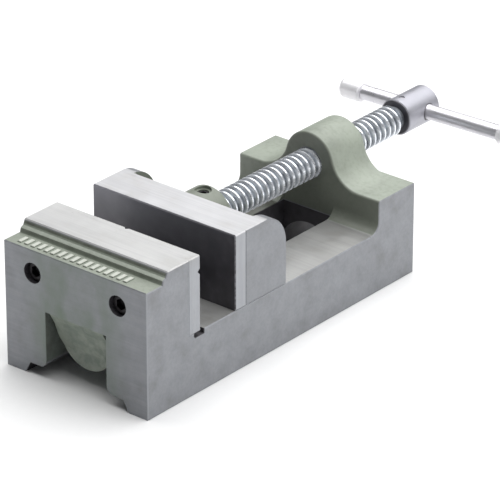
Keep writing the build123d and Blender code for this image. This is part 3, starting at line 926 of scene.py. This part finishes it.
class ViseStudio(bpy.types.PropertyGroup):
    """Floor and lights."""

    floor: colour_setting("Floor", "Pale studio floor", (0.86, 0.86, 0.86))
    top_power: power_setting("Top light", "Power of the big soft light overhead", 76.0)
    side_power: power_setting("Side light", "Power of the soft light on the right", 7.5)
    world_strength: power_setting("Surround", "Strength of the pale surround", 0.15)


# ---------- pieces
class VISE_OT_castings(bpy.types.Operator):
    """Ground and painted iron on the body and on the moving jaw"""

    bl_idname = "vise.castings"
    bl_label = "Castings"

    def execute(self, context):
        colours = context.scene.vise_finishes
        wear("body", body_finish(colours))
        wear("moving_jaw", jaw_finish(colours))
        return {"FINISHED"}


class VISE_OT_jaw_plates(bpy.types.Operator):
    """Bright fixed plate and black moving plate"""

    bl_idname = "vise.jaw_plates"
    bl_label = "Jaw plates"

    def execute(self, context):
        colours = context.scene.vise_finishes
        wear("fixed_jaw_plate", bright_plate_finish(colours))
        wear("moving_jaw_plate", black_plate_finish(colours))
        return {"FINISHED"}


class VISE_OT_lead_screw(bpy.types.Operator):
    """Lead screw with a true helical thread, turned nose and plain end"""

    bl_idname = "vise.lead_screw"
    bl_label = "Lead screw"

    def execute(self, context):
        sizes = context.scene.vise_screw_sizes
        start, end = from_front(THREAD_START), from_front(THREAD_END)
        screw = self.wind_thread(sizes, start, end)
        combine(screw, self.thread_envelope(sizes, start, end), "INTERSECT")
        combine(screw, self.turn_shaft(sizes, start, end), "UNION")
        split_faces(screw)
        tidy_mesh(screw, 32, 0.00001)
        finish_piece(screw, "lead_screw_detailed", thread_finish(context.scene.vise_finishes),
                     "screw", "zinc_steel", "lead_screw")
        return {"FINISHED"}

    def wind_thread(self, sizes, start, end):
        """A tube with a helical thread, a little longer than the thread at both ends."""
        crest, flank, flat = SCREW_HIGH.x, sizes.flank, sizes.crest_flat
        corner_drop, corner_run = 0.25 * MM, 0.06 * MM
        screw = open_profile("lead_screw_detailed", (
            (sizes.root_radius, 0.0),
            (crest - corner_drop, flank * 0.82),
            (crest, flank + corner_run),
            (crest, flank + flat - corner_run),
            (crest - corner_drop, flank * 1.18 + flat),
            (sizes.root_radius, 2 * flank + flat),
            (sizes.root_radius, sizes.pitch)))
        turns = math.ceil((end - start) / sizes.pitch) + 2
        add_modifier(screw, "SCREW", axis="Z", angle=2 * math.pi, screw_offset=sizes.pitch,
                     iterations=turns, steps=SCREW_STEPS, render_steps=SCREW_STEPS)
        settle_along_y(screw, start - sizes.pitch)
        spare = 0.4 * MM
        close_between(screw, start - spare, end + spare)
        return screw

    def thread_envelope(self, sizes, start, end):
        """The bevelled blank that the thread is trimmed to."""
        outside = SCREW_HIGH.x + 0.5 * MM
        runout = THREAD_RUNOUT * MM
        return turned_along_y("envelope", (
            (0, start),
            (sizes.root_radius + 0.25 * MM, start),
            (outside, start + runout),
            (outside, end - runout),
            (sizes.root_radius + 0.15 * MM, end),
            (0, end)), 2 * SCREW_STEPS)

    def turn_shaft(self, sizes, start, end):
        """Nose with its retaining groove, core under the thread and plain seat for the hub."""
        low, high = SCREW_LOW.y, SCREW_HIGH.y
        nose, groove, seat = NOSE_RADIUS * MM, GROOVE_RADIUS * MM, SEAT_RADIUS * MM
        core = sizes.root_radius - 0.1 * MM
        groove_low = from_front(GROOVE_MIDDLE - GROOVE_HALF)
        groove_high = from_front(GROOVE_MIDDLE + GROOVE_HALF)
        return turned_along_y("shaft", (
            (0, low),
            (nose - 0.8 * MM, low),
            (nose - 0.2 * MM, low + 0.4 * MM),
            (nose, low + 1.0 * MM),
            (nose, groove_low),
            (groove + 0.3 * MM, groove_low + 0.05 * MM),
            (groove, groove_low + 0.4 * MM),
            (groove, groove_high - 0.4 * MM),
            (groove + 0.3 * MM, groove_high - 0.05 * MM),
            (nose, groove_high),
            (nose, start + 0.2 * MM),
            (core, start + 0.6 * MM),
            (core, end - 0.6 * MM),
            (seat, end - 0.2 * MM),
            (seat, high - 0.5 * MM),
            (seat - 0.5 * MM, high),
            (0, high)), SHAFT_STEPS)


class VISE_OT_socket_screws(bpy.types.Operator):
    """Six socket-head screws, modelled once and copied to their holes"""

    bl_idname = "vise.socket_screws"
    bl_label = "Socket-head screws"

    def execute(self, context):
        sizes = context.scene.vise_screw_sizes
        first = self.model_screw(sizes)
        black = oxide_finish(context.scene.vise_finishes)
        bodies = {node: name for name, members in frame["record"]["behaviour"]["bodies"].items()
                  for node in members}
        for node, turn in SCREW_TURNS.items():
            low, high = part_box(node)
            direction = turn @ Vector((0, 0, 1))
            middle = (low + high) / 2
            length = abs((high - low).dot(direction))
            head_top = middle + direction * (length / 2)
            screw = copy_piece(first, node + "_detailed")
            self.stretch_shank(screw, sizes, length)
            pick(screw)
            screw.matrix_world = Matrix.Translation(head_top) @ turn.to_4x4()
            settle(screw)
            tidy_mesh(screw, 32)
            finish_piece(screw, node + "_detailed", black, bodies[node], "black_screws", node)
        bpy.data.objects.remove(first, do_unlink=True)
        return {"FINISHED"}

    def model_screw(self, sizes):
        """A screw along -Z with the top of its head at the origin."""
        head, height, shank = sizes.head_radius, sizes.head_height, sizes.shank_radius
        screw = turn_profile("socket_screw", (
            (0, 0),
            (head - 0.75 * MM, 0),
            (head - 0.3 * MM, -0.12 * MM),
            (head - 0.04 * MM, -0.6 * MM),
            (head, -0.9 * MM),
            (head, -height + 0.3 * MM),
            (head - 0.25 * MM, -height),
            (shank + 0.35 * MM, -height),
            (shank, -height - 0.35 * MM),
            (shank, -height - 4 * MM),
            (shank - 0.5 * MM, -height - 4.5 * MM),
            (0, -height - 4.5 * MM)), HEAD_STEPS)
        step = 360 / HEAD_STEPS
        bpy.ops.object.mode_set(mode="EDIT")
        choose_parts(screw, "VERT", lambda co: (
            math.hypot(co.x, co.y) > head - 0.01 * MM
            and round(math.degrees(math.atan2(co.y, co.x)) / step) % 2 == 0))
        bpy.ops.transform.resize(value=(0.965, 0.965, 1), center_override=(0, 0, 0))
        bpy.ops.object.mode_set(mode="OBJECT")
        corner = sizes.socket_flats / math.sqrt(3)
        depth = sizes.socket_depth
        clear_selection()
        bpy.ops.mesh.primitive_cylinder_add(vertices=6, radius=corner, depth=depth,
                                            location=(0, 0, -depth / 2))
        socket = bpy.context.object
        bpy.ops.object.transform_apply(location=True, rotation=True, scale=True)
        bpy.ops.object.mode_set(mode="EDIT")
        choose_parts(socket, "FACE", lambda centre: centre.z > -0.01 * MM)
        bpy.ops.transform.translate(value=(0, 0, -0.25 * MM))
        bpy.ops.mesh.extrude_region_move(TRANSFORM_OT_translate={"value": (0, 0, 0.6 * MM)})
        bpy.ops.transform.resize(value=(1.24, 1.24, 1), center_override=(0, 0, 0))
        choose_parts(socket, "FACE", lambda centre: centre.z < -depth + 0.01 * MM)
        bpy.ops.mesh.extrude_region_move(TRANSFORM_OT_translate={"value": (0, 0, -0.8 * MM)})
        bpy.ops.transform.resize(value=(0.08, 0.08, 1), center_override=(0, 0, -depth))
        bpy.ops.object.mode_set(mode="OBJECT")
        combine(screw, socket, "DIFFERENCE")
        return screw

    def stretch_shank(self, screw, sizes, length):
        """Draws the end of the shank out to the screw's full length."""
        pick(screw)
        bpy.ops.object.mode_set(mode="EDIT")
        choose_parts(screw, "VERT", lambda co: co.z < -sizes.head_height - 3 * MM)
        drop = length - sizes.head_height - 4.5 * MM
        bpy.ops.transform.translate(value=(0, 0, -drop))
        bpy.ops.object.mode_set(mode="OBJECT")


class VISE_OT_handle(bpy.types.Operator):
    """Chromed hub, pin, sliding bar and end knobs"""

    bl_idname = "vise.handle"
    bl_label = "Handle"

    def execute(self, context):
        colours = context.scene.vise_finishes
        chrome = colours.chrome
        wear("handle_hub", hub_finish(colours))
        bar = turned_finish("chromed_bar", chrome, (0.27, 0.36), "x", marks=0.0, haze=0.01)
        wear("handle_bar", bar.material)
        plated = turned_finish(
            "plated_knobs", colours.knob, (0.32, 0.4), "x", marks=0.0, haze=0.01)
        plated.set(metallic=0.3)
        for node in ("handle_knob_left", "handle_knob_right"):
            wear(node, plated.material)
        dull = scaled(chrome, 0.7)
        wear("hub_pin", turned_finish("pin_steel", dull, (0.3, 0.42)).material)
        return {"FINISHED"}


class VISE_OT_small_parts(bpy.types.Operator):
    """Keeper plate, spring washers, thrust disc and retaining set screw"""

    bl_idname = "vise.small_parts"
    bl_label = "Small parts"

    def execute(self, context):
        colours = context.scene.vise_finishes
        rolled = plain_steel_finish()
        for node in ("keeper_plate", "keeper_washer_front", "keeper_washer_rear"):
            wear(node, rolled)
        grey = scaled(colours.zinc, 0.6)
        wear("thrust_disc", turned_finish("hardened_disc", grey, (0.25, 0.35)).material)
        wear("retaining_set_screw", oxide_finish(colours))
        return {"FINISHED"}


class VISE_OT_studio(bpy.types.Operator):
    """Pale floor, soft lights and camera"""

    bl_idname = "vise.studio"
    bl_label = "Studio"

    def execute(self, context):
        studio = context.scene.vise_studio
        self.lay_floor(studio)
        self.hang_light("top_light", *TOP_LIGHT, studio.top_power)
        self.hang_light("side_light", *SIDE_LIGHT, studio.side_power)
        world = bpy.data.worlds.new("studio_surround")
        world.use_nodes = True
        background = world.node_tree.nodes["Background"]
        background.inputs["Color"].default_value = (0.95, 0.97, 1.0, 1.0)
        background.inputs["Strength"].default_value = studio.world_strength
        context.scene.world = world
        context.scene.view_settings.view_transform = "Standard"
        self.place_camera(context)
        return {"FINISHED"}

    def lay_floor(self, studio):
        clear_selection()
        bpy.ops.mesh.primitive_plane_add(size=8.0, location=(0, 0, 0))
        floor = bpy.context.object
        floor.name = "floor"
        bpy.ops.object.mode_set(mode="EDIT")
        bpy.ops.mesh.select_all(action="SELECT")
        bpy.ops.mesh.subdivide(number_cuts=3)
        bpy.ops.object.mode_set(mode="OBJECT")
        floor.data.materials.append(floor_finish(studio.floor))

    def hang_light(self, name, place, aim, size, power):
        lamp = bpy.data.lights.new(name, "AREA")
        lamp.shape = "RECTANGLE"
        lamp.size, lamp.size_y = size
        lamp.energy = power
        light = bpy.data.objects.new(name, lamp)
        bpy.context.collection.objects.link(light)
        light.location = place
        direction = Vector(aim) - Vector(place)
        light.rotation_euler = direction.to_track_quat("-Z", "Y").to_euler()

    def place_camera(self, context):
        lens = bpy.data.cameras.new("camera")
        lens.lens = CAMERA_LENS
        lens.sensor_width = CAMERA_SENSOR
        camera = bpy.data.objects.new("camera", lens)
        context.collection.objects.link(camera)
        camera.location = CAMERA_PLACE
        camera.rotation_euler = [math.radians(angle) for angle in CAMERA_TURN]
        context.scene.camera = camera


class VISE_PT_panel(bpy.types.Panel):
    """Lists the vise's pieces and settings"""

    bl_label = "Drill-press Vise"
    bl_idname = "VISE_PT_panel"
    bl_space_type = "VIEW_3D"
    bl_region_type = "UI"
    bl_category = "Vise"

    def draw(self, context):
        layout = self.layout
        for operator in OPERATORS:
            layout.operator(operator.bl_idname)
        for group in (context.scene.vise_finishes, context.scene.vise_screw_sizes,
                      context.scene.vise_studio):
            box = layout.box()
            for name in group.__annotations__:
                box.prop(group, name)


OPERATORS = (
    VISE_OT_castings,
    VISE_OT_jaw_plates,
    VISE_OT_lead_screw,
    VISE_OT_socket_screws,
    VISE_OT_handle,
    VISE_OT_small_parts,
    VISE_OT_studio,
)
SETTINGS = {
    "vise_finishes": ViseFinishes,
    "vise_screw_sizes": ViseScrewSizes,
    "vise_studio": ViseStudio,
}


def register():
    for group in SETTINGS.values():
        bpy.utils.register_class(group)
    for operator in OPERATORS:
        bpy.utils.register_class(operator)
    bpy.utils.register_class(VISE_PT_panel)
    for name, group in SETTINGS.items():
        setattr(bpy.types.Scene, name, bpy.props.PointerProperty(type=group))


def unregister():
    for name in SETTINGS:
        delattr(bpy.types.Scene, name)
    bpy.utils.unregister_class(VISE_PT_panel)
    for operator in reversed(OPERATORS):
        bpy.utils.unregister_class(operator)
    for group in reversed(list(SETTINGS.values())):
        bpy.utils.unregister_class(group)


def main():
    register()
    for operator in OPERATORS:
        group, name = operator.bl_idname.split(".")
        getattr(getattr(bpy.ops, group), name)()


if __name__ == "__main__":
    main()
